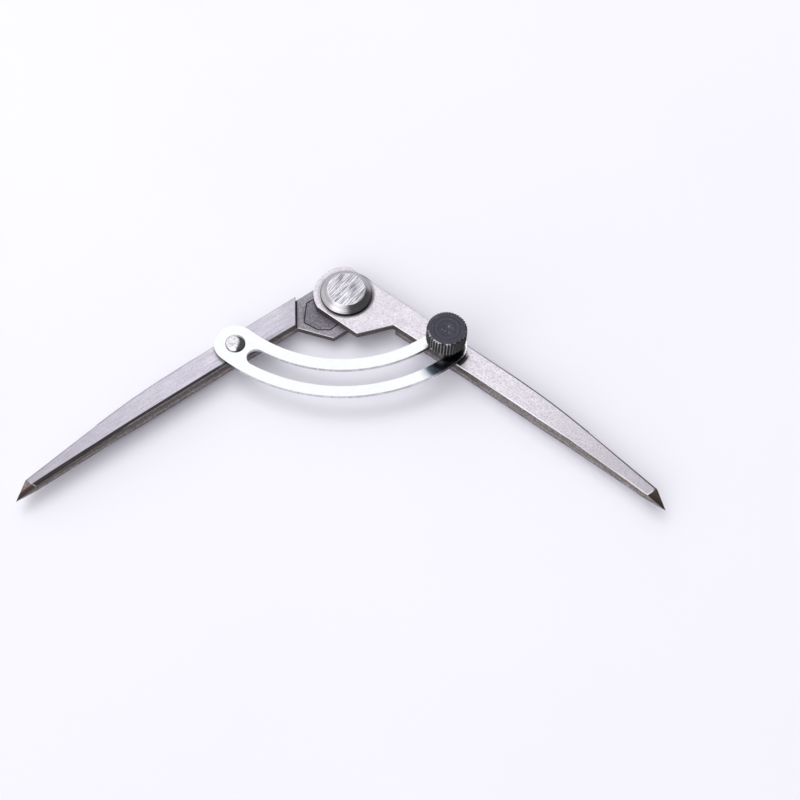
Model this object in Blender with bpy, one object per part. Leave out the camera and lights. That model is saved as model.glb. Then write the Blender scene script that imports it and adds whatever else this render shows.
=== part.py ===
"""Wing divider: two half-lapped steel legs on a riveted hinge, a slotted wing and a clamping thumb screw.

Metres, +Z up. The origin is on the hinge axis, at the flat underside of the hinge.
Each leg is drawn along its own axes: +X from the hinge to the point, +Y towards the other leg,
and Z from the middle of its thickness. The legs are one forging, used once each way up.
"""

import math

import bmesh
import bpy
from mathutils import Vector

MM = 0.001
GAP = 0.3 * MM
SEAT_GAP = 0.12 * MM

# Legs
OPENING = math.radians(105.03)
LEG_THICKNESS = 4.7 * MM
EYE_RADIUS = 9.95 * MM
EAR_WIDTH = 9.2 * MM
LEG_WIDTH = 8.3 * MM
NOTCH_CORNER = (11.4 * MM, EAR_WIDTH)
NOTCH_ROOT = (18.0 * MM, 0.0)
SHOULDER_CLEARANCE = 0.85 * MM
BOW_DEPTH = 0.7 * MM
BOW_FROM = 46.0 * MM
BOW_TO = 80.0 * MM
TAPER_FROM = 53.0 * MM
TAPER_FULL = 87.0 * MM
TAPER_SLOPE = 0.115
TAPER_STEPS = 8
THINNING_FROM = 72.0 * MM
POINT_FROM = 110.2 * MM
POINT_THICKNESS = 2.6 * MM
POINT_FACET_LEAD = 1.2 * MM
LEG_LENGTH = 115.7 * MM
TIP_CLEARANCE = 0.05 * MM

# Hinge
CAP_HEIGHT = 2.35 * MM
CAP_BASE_RADIUS = 7.85 * MM
CAP_RIM = 0.35 * MM
CAP_FLAT_RADIUS = 5.7 * MM
PIN_RADIUS = 3.0 * MM
PIN_CLEARANCE = 0.2 * MM

# Wing
WING_RIVET = (37.41 * MM, -4.54 * MM)
WING_CENTRE = (-9.64 * MM, -15.42 * MM)
WING_RADIUS = 48.3 * MM
WING_HALF_WIDTH = 6.35 * MM
WING_THICKNESS = 1.2 * MM
SLOT_RADIUS = 48.44 * MM
SLOT_HALF_WIDTH = 2.75 * MM
SLOT_FROM_RIVET = 7.75 * MM
SLOT_PAST_SCREW = 0.4 * MM
WING_BORE_RADIUS = 1.9 * MM
RIVET_RADIUS = 1.6 * MM
RIVET_BORE_RADIUS = 1.8 * MM
RIVET_HEAD_RADIUS = 2.95 * MM
RIVET_HEAD_HEIGHT = 1.35 * MM
COUNTERSINK_RADIUS = 2.9 * MM
COUNTERSINK_DEPTH = 1.2 * MM

# Thumb screw
SCREW_PLACE = (34.9 * MM, -3.1 * MM)
SCREW_STEM_RADIUS = 2.0 * MM
SCREW_BORE_RADIUS = 2.2 * MM
SCREW_NECK_RADIUS = 0.95 * MM
SCREW_COLLAR_RADIUS = 4.1 * MM
SCREW_SHOULDER_RADIUS = 4.4 * MM
SCREW_COLLAR_HEIGHT = 4.4 * MM
KNOB_RADIUS = 6.0 * MM
KNOB_TOP_RADIUS = 5.45 * MM
KNOB_HEIGHT = 9.7 * MM
KNURL_TEETH = 40
KNURL_DEPTH = 0.35 * MM

# Levels above the resting face
LEG_BOTTOM = CAP_HEIGHT + SEAT_GAP
LEG_MIDDLE = LEG_BOTTOM + LEG_THICKNESS / 2
LEG_TOP = LEG_BOTTOM + LEG_THICKNESS
WING_BOTTOM = LEG_TOP + SEAT_GAP
WING_TOP = WING_BOTTOM + WING_THICKNESS
SEAT = WING_TOP + SEAT_GAP

# Fineness of the round shapes
ROUND = 64
SMALL_ROUND = 40
EYE_STEPS = 28
ARC_STEPS = 40
END_STEPS = 20
DOME_STEPS = 7
SHARP_ANGLE = math.radians(35)

LEFT_TURN = -(math.pi + OPENING) / 2
RIGHT_TURN = -(math.pi - OPENING) / 2


def clear_scene():
    for item in list(bpy.data.objects):
        bpy.data.objects.remove(item, do_unlink=True)


def metal(name, colour, roughness, metallic=1.0):
    material = bpy.data.materials.new(name)
    material.use_nodes = True
    shader = material.node_tree.nodes["Principled BSDF"]
    shader.inputs["Base Color"].default_value = (*colour, 1.0)
    shader.inputs["Roughness"].default_value = roughness
    shader.inputs["Metallic"].default_value = metallic
    return material


def add_object(name, bm, material=None):
    """An object from a bmesh, with its faces turned outwards and its round sides smooth."""
    bmesh.ops.recalc_face_normals(bm, faces=bm.faces)
    mesh = bpy.data.meshes.new(name)
    bm.to_mesh(mesh)
    bm.free()
    mesh.shade_smooth()
    mesh.set_sharp_from_angle(angle=SHARP_ANGLE)
    if material:
        mesh.materials.append(material)
    item = bpy.data.objects.new(name, mesh)
    bpy.context.scene.collection.objects.link(item)
    return item


def prism(outline, low, high):
    """A bmesh of an outline in XY, extruded from one level to another."""
    bm = bmesh.new()
    base = bm.faces.new([bm.verts.new((x, y, low)) for x, y in outline])
    sides = bmesh.ops.extrude_face_region(bm, geom=[base])["geom"]
    raised = [part for part in sides if isinstance(part, bmesh.types.BMVert)]
    bmesh.ops.translate(bm, vec=(0, 0, high - low), verts=raised)
    return bm


def turned(profile, segments, flute=0.0):
    """A bmesh turned about Z from (radius, height) pairs. Every second point of the widest rings is
    pulled in by the depth of a flute."""
    bm = bmesh.new()
    widest = max(radius for radius, _ in profile)
    rings = []
    for radius, height in profile:
        ring = []
        for step in range(segments):
            angle = 2 * math.pi * step / segments
            reach = radius - flute if radius == widest and step % 2 else radius
            ring.append(bm.verts.new((reach * math.cos(angle), reach * math.sin(angle), height)))
        rings.append(ring)
    for lower, upper in zip(rings, rings[1:]):
        for step in range(segments):
            after = (step + 1) % segments
            bm.faces.new((lower[step], lower[after], upper[after], upper[step]))
    bm.faces.new(list(reversed(rings[0])))
    bm.faces.new(rings[-1])
    return bm


def cut(target, bm, name):
    """Takes a bmesh away from an object, by a hidden cutter placed as the object is."""
    cutter = add_object(name, bm)
    cutter.parent = target
    cutter.hide_render = True
    cutter.display_type = "WIRE"
    boolean = target.modifiers.new(name, "BOOLEAN")
    boolean.operation = "DIFFERENCE"
    boolean.object = cutter


def bore(target, name, centre, profile, segments=SMALL_ROUND):
    """Cuts a turned shape out of an object, on an upright axis through a point of its XY."""
    bm = turned(profile, segments)
    bmesh.ops.translate(bm, vec=(*centre, 0), verts=bm.verts)
    cut(target, bm, name)


def arc(centre, radius, start, end, steps):
    """Points of an arc, both ends included."""
    points = []
    for step in range(steps + 1):
        angle = start + (end - start) * step / steps
        points.append((centre[0] + radius * math.cos(angle), centre[1] + radius * math.sin(angle)))
    return points


def outer_edge(along):
    """Where the outer side of a leg is: straight, then bending smoothly into an even taper."""
    if along <= TAPER_FROM:
        return -LEG_WIDTH
    blend = TAPER_FULL - TAPER_FROM
    if along >= TAPER_FULL:
        return -LEG_WIDTH + TAPER_SLOPE * (blend / 2 + along - TAPER_FULL)
    return -LEG_WIDTH + TAPER_SLOPE * (along - TAPER_FROM) ** 2 / (2 * blend)


def leg_outline():
    """The whole leg seen from above, round the eye and out to the point."""
    ear_angle = math.asin(EAR_WIDTH / EYE_RADIUS)
    back_angle = math.asin(LEG_WIDTH / EYE_RADIUS)
    eye = arc((0, 0), EYE_RADIUS, math.pi - ear_angle, math.pi + back_angle, EYE_STEPS)
    taper = []
    for step in range(TAPER_STEPS + 1):
        along = TAPER_FROM + (TAPER_FULL - TAPER_FROM) * step / TAPER_STEPS
        taper.append((along, outer_edge(along)))
    point = [(POINT_FROM, outer_edge(POINT_FROM)), (LEG_LENGTH, -TIP_CLEARANCE)]
    bow = [(BOW_TO, -BOW_DEPTH), (BOW_FROM, -BOW_DEPTH)]
    return [NOTCH_ROOT, NOTCH_CORNER] + eye + taper + point + bow


def slice_off(bm, point, normal):
    """Cuts away what is beyond a plane, and closes the cut."""
    geometry = bm.verts[:] + bm.edges[:] + bm.faces[:]
    facing = normal.normalized()
    done = bmesh.ops.bisect_plane(
        bm, geom=geometry, dist=1e-7, plane_co=point, plane_no=facing, clear_outer=True
    )
    rim = [part for part in done["geom_cut"] if isinstance(part, bmesh.types.BMEdge)]
    if rim:
        bmesh.ops.contextual_create(bm, geom=rim)


def thin_towards_point(bm, side):
    """Tapers the thickness on one side (1 above, -1 below), then grinds that side's point facet."""
    full = side * LEG_THICKNESS / 2
    thin = side * POINT_THICKNESS / 2
    run = Vector((POINT_FROM - THINNING_FROM, 0, thin - full))
    slice_off(bm, (THINNING_FROM, 0, full), run.cross(Vector((0, side, 0))))
    inner = Vector((POINT_FROM - POINT_FACET_LEAD, 0, thin))
    outer = Vector((POINT_FROM, -LEG_WIDTH / 2, thin))
    tip = Vector((LEG_LENGTH, -TIP_CLEARANCE, 0))
    slice_off(bm, tip, side * (inner - tip).cross(outer - tip))


def lap_cutter():
    """What the lap takes out of a leg's upper half: all that is on the hinge's side of the shoulder."""
    reach = 3 * EYE_RADIUS
    slope = (NOTCH_ROOT[0] - NOTCH_CORNER[0]) / (NOTCH_CORNER[1] - NOTCH_ROOT[1])
    shoulder = NOTCH_ROOT[0] + SHOULDER_CLEARANCE
    outline = [
        (-reach, -reach),
        (shoulder - slope * reach, -reach),
        (shoulder + slope * reach, reach),
        (-reach, reach),
    ]
    return prism(outline, -GAP / 2, LEG_THICKNESS)


def make_leg(name, material):
    bm = prism(leg_outline(), -LEG_THICKNESS / 2, LEG_THICKNESS / 2)
    for side in (1, -1):
        thin_towards_point(bm, side)
    leg = add_object(name, bm, material)
    cut(leg, lap_cutter(), name + "_lap_cutter")
    through = LEG_THICKNESS
    radius = PIN_RADIUS + PIN_CLEARANCE
    bore(leg, name + "_pin_cutter", (0, 0), [(radius, -through), (radius, through)], ROUND)
    leg.location = (0, 0, LEG_MIDDLE)
    return leg


def make_left_leg(material):
    """The leg whose lap is the lower plate, drilled and countersunk for the wing's rivet."""
    leg = make_leg("left_leg", material)
    bottom = -LEG_THICKNESS / 2
    profile = [
        (COUNTERSINK_RADIUS + COUNTERSINK_DEPTH, bottom - COUNTERSINK_DEPTH),
        (COUNTERSINK_RADIUS, bottom),
        (RIVET_BORE_RADIUS, bottom + COUNTERSINK_DEPTH),
        (RIVET_BORE_RADIUS, LEG_THICKNESS),
    ]
    bore(leg, "rivet_hole_cutter", WING_RIVET, profile)
    leg.rotation_euler = (0, 0, LEFT_TURN)
    return leg


def make_right_leg(material):
    """The same forging turned over, drilled for the thumb screw."""
    leg = make_leg("right_leg", material)
    profile = [(SCREW_BORE_RADIUS, -LEG_THICKNESS), (SCREW_BORE_RADIUS, LEG_THICKNESS)]
    bore(leg, "screw_hole_cutter", SCREW_PLACE, profile)
    leg.rotation_euler = (math.pi, 0, RIGHT_TURN)
    return leg


def make_hinge_cap(name, material, flat, base):
    """A bevelled washer between two levels, with its wide side at base and its ground flat at flat."""
    outward = 1 if flat > base else -1
    profile = [
        (CAP_BASE_RADIUS, base),
        (CAP_BASE_RADIUS, base + outward * CAP_RIM),
        (CAP_FLAT_RADIUS, flat),
    ]
    cap = add_object(name, turned(profile, ROUND), material)
    radius = PIN_RADIUS + PIN_CLEARANCE
    ends = (base - outward * CAP_HEIGHT, flat + outward * CAP_HEIGHT)
    bore(cap, name + "_cutter", (0, 0), [(radius, level) for level in ends], ROUND)
    return cap


def make_hinge_pin(material):
    """The rivet of the hinge, ground flush with both caps."""
    profile = [(PIN_RADIUS, 0), (PIN_RADIUS, LEG_TOP + SEAT_GAP + CAP_HEIGHT)]
    return add_object("hinge_pin", turned(profile, ROUND), material)


def in_plan(place, turn, mirrored=False):
    """World XY of a point given along and across a leg."""
    across = -place[1] if mirrored else place[1]
    return Vector(
        (
            place[0] * math.cos(turn) - across * math.sin(turn),
            place[0] * math.sin(turn) + across * math.cos(turn),
        )
    )


def band(centre, radius, half_width, start, end):
    """Outline of a band bent along an arc, with round ends."""
    first = (centre[0] + radius * math.cos(start), centre[1] + radius * math.sin(start))
    last = (centre[0] + radius * math.cos(end), centre[1] + radius * math.sin(end))
    outline = arc(centre, radius + half_width, start, end, ARC_STEPS)
    outline += arc(last, half_width, end, end + math.pi, END_STEPS)[1:-1]
    outline += arc(centre, radius - half_width, end, start, ARC_STEPS)
    outline += arc(first, half_width, start + math.pi, start + 2 * math.pi, END_STEPS)[1:-1]
    return outline


def make_wing(material):
    """The slotted arc, drawn about its rivet along the left leg's axes."""
    rivet = Vector(WING_RIVET)
    centre = Vector(WING_CENTRE) - rivet
    screw = in_plan(SCREW_PLACE, OPENING, mirrored=True) - rivet
    rivet_angle = math.atan2(-centre.y, -centre.x)
    screw_angle = math.atan2(screw.y - centre.y, screw.x - centre.x)
    slot_start = rivet_angle + SLOT_FROM_RIVET / SLOT_RADIUS
    slot_end = screw_angle + SLOT_PAST_SCREW / SLOT_RADIUS
    outline = band(centre, WING_RADIUS, WING_HALF_WIDTH, rivet_angle, slot_end)
    wing = add_object("wing_arc", prism(outline, WING_BOTTOM, WING_TOP), material)
    slot = band(centre, SLOT_RADIUS, SLOT_HALF_WIDTH, slot_start, slot_end)
    cut(wing, prism(slot, WING_BOTTOM - MM, WING_TOP + MM), "slot_cutter")
    ends = (WING_BOTTOM - MM, WING_TOP + MM)
    bore(wing, "wing_bore_cutter", (0, 0), [(WING_BORE_RADIUS, level) for level in ends])
    place = in_plan(WING_RIVET, LEFT_TURN)
    wing.location = (place.x, place.y, 0)
    wing.rotation_euler = (0, 0, LEFT_TURN)
    return wing


def make_wing_rivet(material):
    """The domed rivet that the wing swings on, closed into the countersink below."""
    low = LEG_BOTTOM + SEAT_GAP / 2
    profile = [
        (COUNTERSINK_RADIUS - SEAT_GAP, low),
        (RIVET_RADIUS, low + COUNTERSINK_DEPTH),
        (RIVET_RADIUS, SEAT),
        (RIVET_HEAD_RADIUS, SEAT),
    ]
    sphere_radius = (RIVET_HEAD_RADIUS**2 + RIVET_HEAD_HEIGHT**2) / (2 * RIVET_HEAD_HEIGHT)
    crown = SEAT + RIVET_HEAD_HEIGHT - sphere_radius
    edge_angle = math.acos(RIVET_HEAD_RADIUS / sphere_radius)
    for step in range(1, DOME_STEPS):
        angle = edge_angle + (math.pi / 2 - edge_angle) * step / DOME_STEPS
        profile.append((sphere_radius * math.cos(angle), crown + sphere_radius * math.sin(angle)))
    rivet = add_object("wing_rivet", turned(profile, SMALL_ROUND), material)
    place = in_plan(WING_RIVET, LEFT_TURN)
    rivet.location = (place.x, place.y, 0)
    return rivet


def make_thumb_screw(material):
    """The knurled clamping screw, necked where it passes the slot."""
    knurl_low = SEAT + SCREW_COLLAR_HEIGHT
    top = SEAT + KNOB_HEIGHT
    chamfer = KNOB_RADIUS - KNOB_TOP_RADIUS
    profile = [
        (SCREW_STEM_RADIUS, LEG_BOTTOM + GAP),
        (SCREW_STEM_RADIUS, LEG_TOP - SEAT_GAP),
        (SCREW_NECK_RADIUS, LEG_TOP - SEAT_GAP),
        (SCREW_NECK_RADIUS, SEAT),
        (SCREW_COLLAR_RADIUS, SEAT),
        (SCREW_SHOULDER_RADIUS, knurl_low - chamfer),
        (KNOB_TOP_RADIUS, knurl_low - chamfer),
        (KNOB_RADIUS, knurl_low),
        (KNOB_RADIUS, top - chamfer / 2),
        (KNOB_TOP_RADIUS, top),
    ]
    screw = add_object("thumb_screw", turned(profile, 2 * KNURL_TEETH, KNURL_DEPTH), material)
    place = in_plan(SCREW_PLACE, RIGHT_TURN, mirrored=True)
    screw.location = (place.x, place.y, 0)
    return screw


def main():
    clear_scene()
    leg_steel = metal("leg_steel", (0.60, 0.58, 0.58), 0.38)
    hinge_steel = metal("hinge_steel", (0.56, 0.55, 0.56), 0.32)
    bright_plate = metal("bright_plate", (0.86, 0.87, 0.88), 0.18)
    black_oxide = metal("black_oxide", (0.035, 0.036, 0.043), 0.42, 0.6)
    cap_seat = LEG_TOP + SEAT_GAP
    pieces = [
        make_left_leg(leg_steel),
        make_right_leg(leg_steel),
        make_hinge_cap("hinge_cap_bottom", hinge_steel, 0, CAP_HEIGHT),
        make_hinge_cap("hinge_cap_top", hinge_steel, cap_seat + CAP_HEIGHT, cap_seat),
        make_hinge_pin(hinge_steel),
        make_wing(bright_plate),
        make_wing_rivet(bright_plate),
        make_thumb_screw(black_oxide),
    ]
    divider = bpy.data.objects.new("divider", None)
    bpy.context.scene.collection.objects.link(divider)
    for piece in pieces:
        piece.parent = divider


main()
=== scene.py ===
"""The looks of a wing divider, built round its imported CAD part.

Metres, +Z up, in the part's own frame: the hinge axis is Z, and the flat underside of the hinge is
at Z 0. The legs are drawn along their own axes: +X from the hinge to the point, +Y towards the
other leg, and Z from the middle of the thickness.
"""

import math
from typing import NamedTuple

import bmesh
import bpy
from mathutils import Matrix, Vector


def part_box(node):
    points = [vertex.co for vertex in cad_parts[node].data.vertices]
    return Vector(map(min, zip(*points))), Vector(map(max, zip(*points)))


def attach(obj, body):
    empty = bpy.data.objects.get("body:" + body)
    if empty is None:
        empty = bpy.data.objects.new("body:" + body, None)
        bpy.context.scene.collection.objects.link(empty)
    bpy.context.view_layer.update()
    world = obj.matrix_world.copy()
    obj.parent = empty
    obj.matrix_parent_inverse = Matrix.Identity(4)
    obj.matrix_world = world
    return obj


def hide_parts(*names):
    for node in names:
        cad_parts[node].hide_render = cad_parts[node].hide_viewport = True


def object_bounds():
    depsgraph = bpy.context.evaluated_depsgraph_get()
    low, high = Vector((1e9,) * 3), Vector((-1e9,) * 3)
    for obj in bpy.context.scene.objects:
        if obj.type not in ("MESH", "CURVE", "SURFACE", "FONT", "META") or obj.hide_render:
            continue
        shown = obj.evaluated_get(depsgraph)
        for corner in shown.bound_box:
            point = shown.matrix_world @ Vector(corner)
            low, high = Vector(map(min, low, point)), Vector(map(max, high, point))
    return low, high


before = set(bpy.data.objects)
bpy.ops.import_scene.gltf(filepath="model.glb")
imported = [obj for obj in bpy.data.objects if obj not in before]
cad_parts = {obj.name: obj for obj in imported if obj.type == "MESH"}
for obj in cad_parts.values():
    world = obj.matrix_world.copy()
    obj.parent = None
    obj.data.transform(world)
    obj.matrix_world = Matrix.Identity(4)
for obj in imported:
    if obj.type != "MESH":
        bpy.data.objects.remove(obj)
cad_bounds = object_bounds()

MM = 0.001

# Legs
OPENING = math.radians(105.03)
LEG_THICKNESS = 4.7 * MM
EYE_RADIUS = 9.95 * MM
EYE_STEPS = 44
EAR_WIDTH = 9.2 * MM
LEG_WIDTH = 8.3 * MM
NOTCH_CORNER = (11.4 * MM, EAR_WIDTH)
NOTCH_ROOT = (18.0 * MM, 0.0)
SHOULDER_CLEARANCE = 0.85 * MM
LAP_LEVEL = -0.15 * MM
BOW_DEPTH = 0.7 * MM
BOW_FROM = 46.0 * MM
BOW_TO = 80.0 * MM
TAPER_FROM = 53.0 * MM
TAPER_FULL = 87.0 * MM
TAPER_SLOPE = 0.115
TAPER_STEPS = 14
THINNING_FROM = 72.0 * MM
POINT_FROM = 110.2 * MM
POINT_THICKNESS = 2.6 * MM
POINT_FACET_LEAD = 1.2 * MM
LEG_LENGTH = 115.7 * MM
TIP_CLEARANCE = 0.05 * MM
DRAFT = 0.08 * MM
EDGE_ROUND = 0.24 * MM
IMPRINT_MM = [
    (5.0, -3.6),
    (8.4, -5.6),
    (10.7, -5.6),
    (15.4, -0.5),
    (13.5, 4.1),
    (10.6, 6.2),
    (7.6, 6.0),
    (5.0, 3.8),
]
IMPRINT_WIDTH = 0.34 * MM
IMPRINT_DEPTH = 0.16 * MM
SHOULDER_FOOT = NOTCH_ROOT[0] + SHOULDER_CLEARANCE
SHOULDER_SLOPE = (NOTCH_ROOT[0] - NOTCH_CORNER[0]) / (NOTCH_CORNER[1] - NOTCH_ROOT[1])

# Hinge
CAP_BASE_RADIUS = 7.85 * MM
CAP_FLAT_RADIUS = 5.7 * MM
CAP_RIM = 0.35 * MM
CAP_ROUNDS = {1: 0.1 * MM, 2: 0.16 * MM, 3: 0.22 * MM}
PIN_RADIUS = 2.985 * MM
PIN_HOLE_RADIUS = 3.015 * MM
PIN_ROUND = 0.02 * MM
LEG_HOLE_RADIUS = 3.2 * MM

# Wing
WING_RIVET = (37.41 * MM, -4.54 * MM)
WING_CENTRE = (-9.64 * MM, -15.42 * MM)
WING_RADIUS = 48.3 * MM
WING_HALF_WIDTH = 6.35 * MM
SLOT_RADIUS = 48.44 * MM
SLOT_HALF_WIDTH = 2.75 * MM
SLOT_FROM_RIVET = 7.75 * MM
SLOT_PAST_SCREW = 0.4 * MM
WING_EDGE = 0.14 * MM
WING_STEPS = 90
WING_END_STEPS = 36
RIVET_RADIUS = 1.6 * MM
RIVET_HOLE_RADIUS = 1.8 * MM
RIVET_HEAD_RADIUS = 2.95 * MM
RIVET_HEAD_EDGE = 0.22 * MM
RIVET_HEAD_ROUND = 0.06 * MM
RIVET_SEAT_GAP = 0.05 * MM
RIVET_END_CLEARANCE = 0.15 * MM
DOME_STEPS = 12
COUNTERSINK_RADIUS = 2.9 * MM
COUNTERSINK_DEPTH = 1.2 * MM

# Thumb screw
SCREW_PLACE = (34.9 * MM, -3.1 * MM)
SCREW_STEM_RADIUS = 2.0 * MM
SCREW_HOLE_RADIUS = 2.2 * MM
SCREW_NECK_RADIUS = 0.95 * MM
SCREW_COLLAR_RADIUS = 4.1 * MM
SCREW_SHOULDER_RADIUS = 4.4 * MM
SCREW_COLLAR_HEIGHT = 4.4 * MM
KNOB_RADIUS = 6.0 * MM
KNOB_TOP_RADIUS = 5.45 * MM
SCREW_SEAT_GAP = 0.08 * MM
SCREW_STEM_CHAMFER = 0.3 * MM
SCREW_STEM_BELOW_LEG = 0.2 * MM
KNOB_TOP_CHAMFER = 0.4 * MM
KNOB_DISH = 0.04 * MM
KNOB_CENTRE_MARK = 0.07 * MM
KNURL_TEETH = 40
KNURL_DEPTH = 0.38 * MM
KNURL_POINTS = 6

# Marks on the legs. Pairs of bounds say where a mark starts and where it is full.
GROUND_FACING = (0.90, 0.985)
WALL_FACING = (0.50, 0.20)
LAP_DEPTH = (1.2 * MM, 0.8 * MM)
# A painted dark line along the outer edge
OUTER_LINE = (0.66 * MM, 0.42 * MM)
OUTER_LINE_ALONG = (20 * MM, 64 * MM)
MARGIN_FADE = 0.1 * MM
MARGIN_WIDENS = (78 * MM, 106 * MM)
DULL_TO_POINT = (40 * MM, 122 * MM)
BLOTCHED_TO_HINGE = (36 * MM, 14 * MM)
# Painted shade round the hinge cap, and a painted shadow under the wing's round end
CAP_SHADE_RING = (9.1 * MM, 8.1 * MM)
CRESCENT = (7.8 * MM, 7.1 * MM)
CRESCENT_ACROSS = (-6.4 * MM, -4.4 * MM)
CRESCENT_LEVEL = (0.0, 1.0 * MM)
WALL_LOW = (0.6 * MM, -0.4 * MM)
WALL_LOW_ALONG = (16 * MM, 22 * MM)
WALL_PALES = (42 * MM, 58 * MM)
WALL_FOOT = (-1.6 * MM, -2.2 * MM)
FIELD_CENTRE = (9.6 * MM, 0.0)
FIELD = (6.2 * MM, 5.0 * MM)
# Painted shade in the shoulder's corner and on the imprint's floor
SHOULDER_SHADE = (0.85 * MM, 0.45 * MM)
IMPRINT_TOP = (-0.17 * MM, -0.22 * MM)
IMPRINT_FLOOR = (-0.42 * MM, -0.36 * MM)
IMPRINT_REACH = (17.4 * MM, 17.2 * MM)
IMPRINT_ACROSS = (8.4 * MM, 7.9 * MM)
FACET = (-0.05 * MM, 0.08 * MM)
FACET_LINE_FROM = (-0.45 * MM, -0.2 * MM)
FACET_LINE_TO = (0.12 * MM, -0.05 * MM)
FACET_LINE_PALES = (-2.9 * MM, -2.1 * MM)
POINT_DARKENS = (-1.9 * MM, -1.1 * MM)
# Where the rounded edges turn from pale wear to painted shade
EDGE_DARKENS = (-2.6 * MM, -3.2 * MM)

# Painted shade and reflections on the wing, from the screw, in the part's own XY
KNOB_SHADE_FROM_SCREW = (0.8 * MM, -0.4 * MM)
KNOB_SHADE = (5.5 * MM, 4.9 * MM)
SCREW_END_SHADE = (11.0 * MM, 8.0 * MM)
RIVET_END_SHADE = (4.0 * MM, 5.4 * MM)
BLUE_REFLECTION_FROM_SCREW = (-2.7 * MM, -7.2 * MM)
BLUE_REFLECTION = (6.0 * MM, 1.5 * MM)

# Marks on the rivets and the knob: painted shade round the heads' feet, painted highlights on the knurl's
# crests and the collar, and dust
CAP_FOOT_SHADE = (CAP_BASE_RADIUS - 0.26 * MM, CAP_BASE_RADIUS - 0.1 * MM)
DOME_FOOT_SHADE = (RIVET_HEAD_RADIUS - 0.34 * MM, RIVET_HEAD_RADIUS - 0.12 * MM)
KNURL_CREST = (KNOB_RADIUS - 0.15 * MM, KNOB_RADIUS - 0.03 * MM)
KNOB_DUST = (2.6 * MM, 1.4 * MM)
COLLAR = (4.6 * MM, 4.5 * MM)

# Floor, light and camera
FLOOR_REACH = 3.0
FLOOR_GAP = 0.02 * MM
KEY_PLACE = (-0.38, 0.36, 1.15)
KEY_SIZE = (0.95, 0.75)
KEY_POWER = 5.1
SKY_COLOUR = (0.975, 0.975, 1.0, 1.0)
LENS = 78.75
SENSOR_WIDTH = 36.0
CAMERA_PLACE = (0.00068, -0.29141, 0.44898)
CAMERA_ACROSS = (0.99942, -0.00165, 0.03413)
CAMERA_BACK = (-0.03039, -0.49919, 0.86595)

# Meshes
WELD = 2e-6
FLAT_ANGLE = math.radians(0.4)
ROUNDED_ANGLE = math.radians(30)
SHARP_ANGLE = math.radians(50)
LARGE_FACES_COUNT = 80
POINT_STAYS_SHARP = 7.4 * MM
ON_PLANE = 1e-7
ROUND_SEGMENTS = 128
DOME_SEGMENTS = 96
BORE_SEGMENTS = 72

LEFT_TURN = -(math.pi + OPENING) / 2
RIGHT_TURN = -(math.pi - OPENING) / 2

leg_low, leg_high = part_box("left_leg")
wing_low, wing_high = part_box("wing_arc")
cap_low, cap_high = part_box("hinge_cap_top")
base_low, base_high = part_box("hinge_cap_bottom")
rivet_low, rivet_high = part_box("wing_rivet")
screw_low, screw_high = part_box("thumb_screw")
LEG_MIDDLE = (leg_low.z + leg_high.z) / 2


# ---------------------------------------------------------------- mesh helpers


def arc(centre, radius, start, end, steps):
    """Points of an arc, both ends included."""
    points = []
    for step in range(steps + 1):
        angle = start + (end - start) * step / steps
        points.append((centre[0] + radius * math.cos(angle), centre[1] + radius * math.sin(angle)))
    return points


def inset(outline, amount):
    """An anticlockwise outline moved inwards, corner by corner."""
    moved = []
    for index, corner in enumerate(outline):
        here = Vector(corner)
        coming = (here - Vector(outline[index - 1])).normalized()
        going = (Vector(outline[(index + 1) % len(outline)]) - here).normalized()
        first = Vector((coming.y, -coming.x))
        second = Vector((going.y, -going.x))
        mitre = (first + second) / (1 + first.dot(second))
        moved.append(tuple(here - mitre * amount))
    return moved


def lofted(outlines):
    """A closed bmesh through outlines of equally many points, each one given with its level."""
    bm = bmesh.new()
    rings = [[bm.verts.new((x, y, level)) for x, y in outline] for outline, level in outlines]
    for lower, upper in zip(rings, rings[1:]):
        for step in range(len(lower)):
            after = (step + 1) % len(lower)
            bm.faces.new((lower[step], lower[after], upper[after], upper[step]))
    bm.faces.new(list(reversed(rings[0])))
    bm.faces.new(rings[-1])
    return bm


def prism(outline, low, high):
    return lofted([(outline, low), (outline, high)])


def turned(profile, segments, reach=None):
    """A bmesh turned about Z from (radius, height) pairs. A pair with no radius closes that end."""
    bm = bmesh.new()
    rings = []
    for radius, height in profile:
        if radius == 0:
            rings.append([bm.verts.new((0, 0, height))])
            continue
        ring = []
        for step in range(segments):
            angle = 2 * math.pi * step / segments
            out = reach(radius, height, step) if reach else radius
            ring.append(bm.verts.new((out * math.cos(angle), out * math.sin(angle), height)))
        rings.append(ring)
    for lower, upper in zip(rings, rings[1:]):
        for step in range(segments):
            after = (step + 1) % segments
            corners = [lower[step % len(lower)], lower[after % len(lower)]]
            corners += [upper[after % len(upper)], upper[step % len(upper)]]
            bm.faces.new(list(dict.fromkeys(corners)))
    for ring in (rings[0], rings[-1]):
        if len(ring) > 1:
            bm.faces.new(ring)
    return bm


def hollow_turned(profile, segments):
    """A bmesh turned about Z from a closed loop of (radius, height) pairs, with a hole through it."""
    bm = bmesh.new()
    rings = []
    for radius, height in profile:
        angles = [2 * math.pi * step / segments for step in range(segments)]
        rings.append([bm.verts.new((radius * math.cos(a), radius * math.sin(a), height)) for a in angles])
    for index, lower in enumerate(rings):
        upper = rings[(index + 1) % len(rings)]
        for step in range(segments):
            after = (step + 1) % segments
            bm.faces.new((lower[step], lower[after], upper[after], upper[step]))
    return bm


def fillet(before, corner, after, radius, steps=4):
    """Points that round off a corner of a profile."""
    here = Vector(corner)
    back = (Vector(before) - here).normalized()
    onward = (Vector(after) - here).normalized()
    half = back.angle(onward) / 2
    reach = radius / math.tan(half)
    centre = here + (back + onward).normalized() * radius / math.sin(half)
    start = here + back * reach - centre
    end = here + onward * reach - centre
    turn = start.angle_signed(end)
    points = []
    for step in range(steps + 1):
        angle = -turn * step / steps
        cos, sin = math.cos(angle), math.sin(angle)
        points.append((centre.x + start.x * cos - start.y * sin, centre.y + start.x * sin + start.y * cos))
    return points


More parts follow.
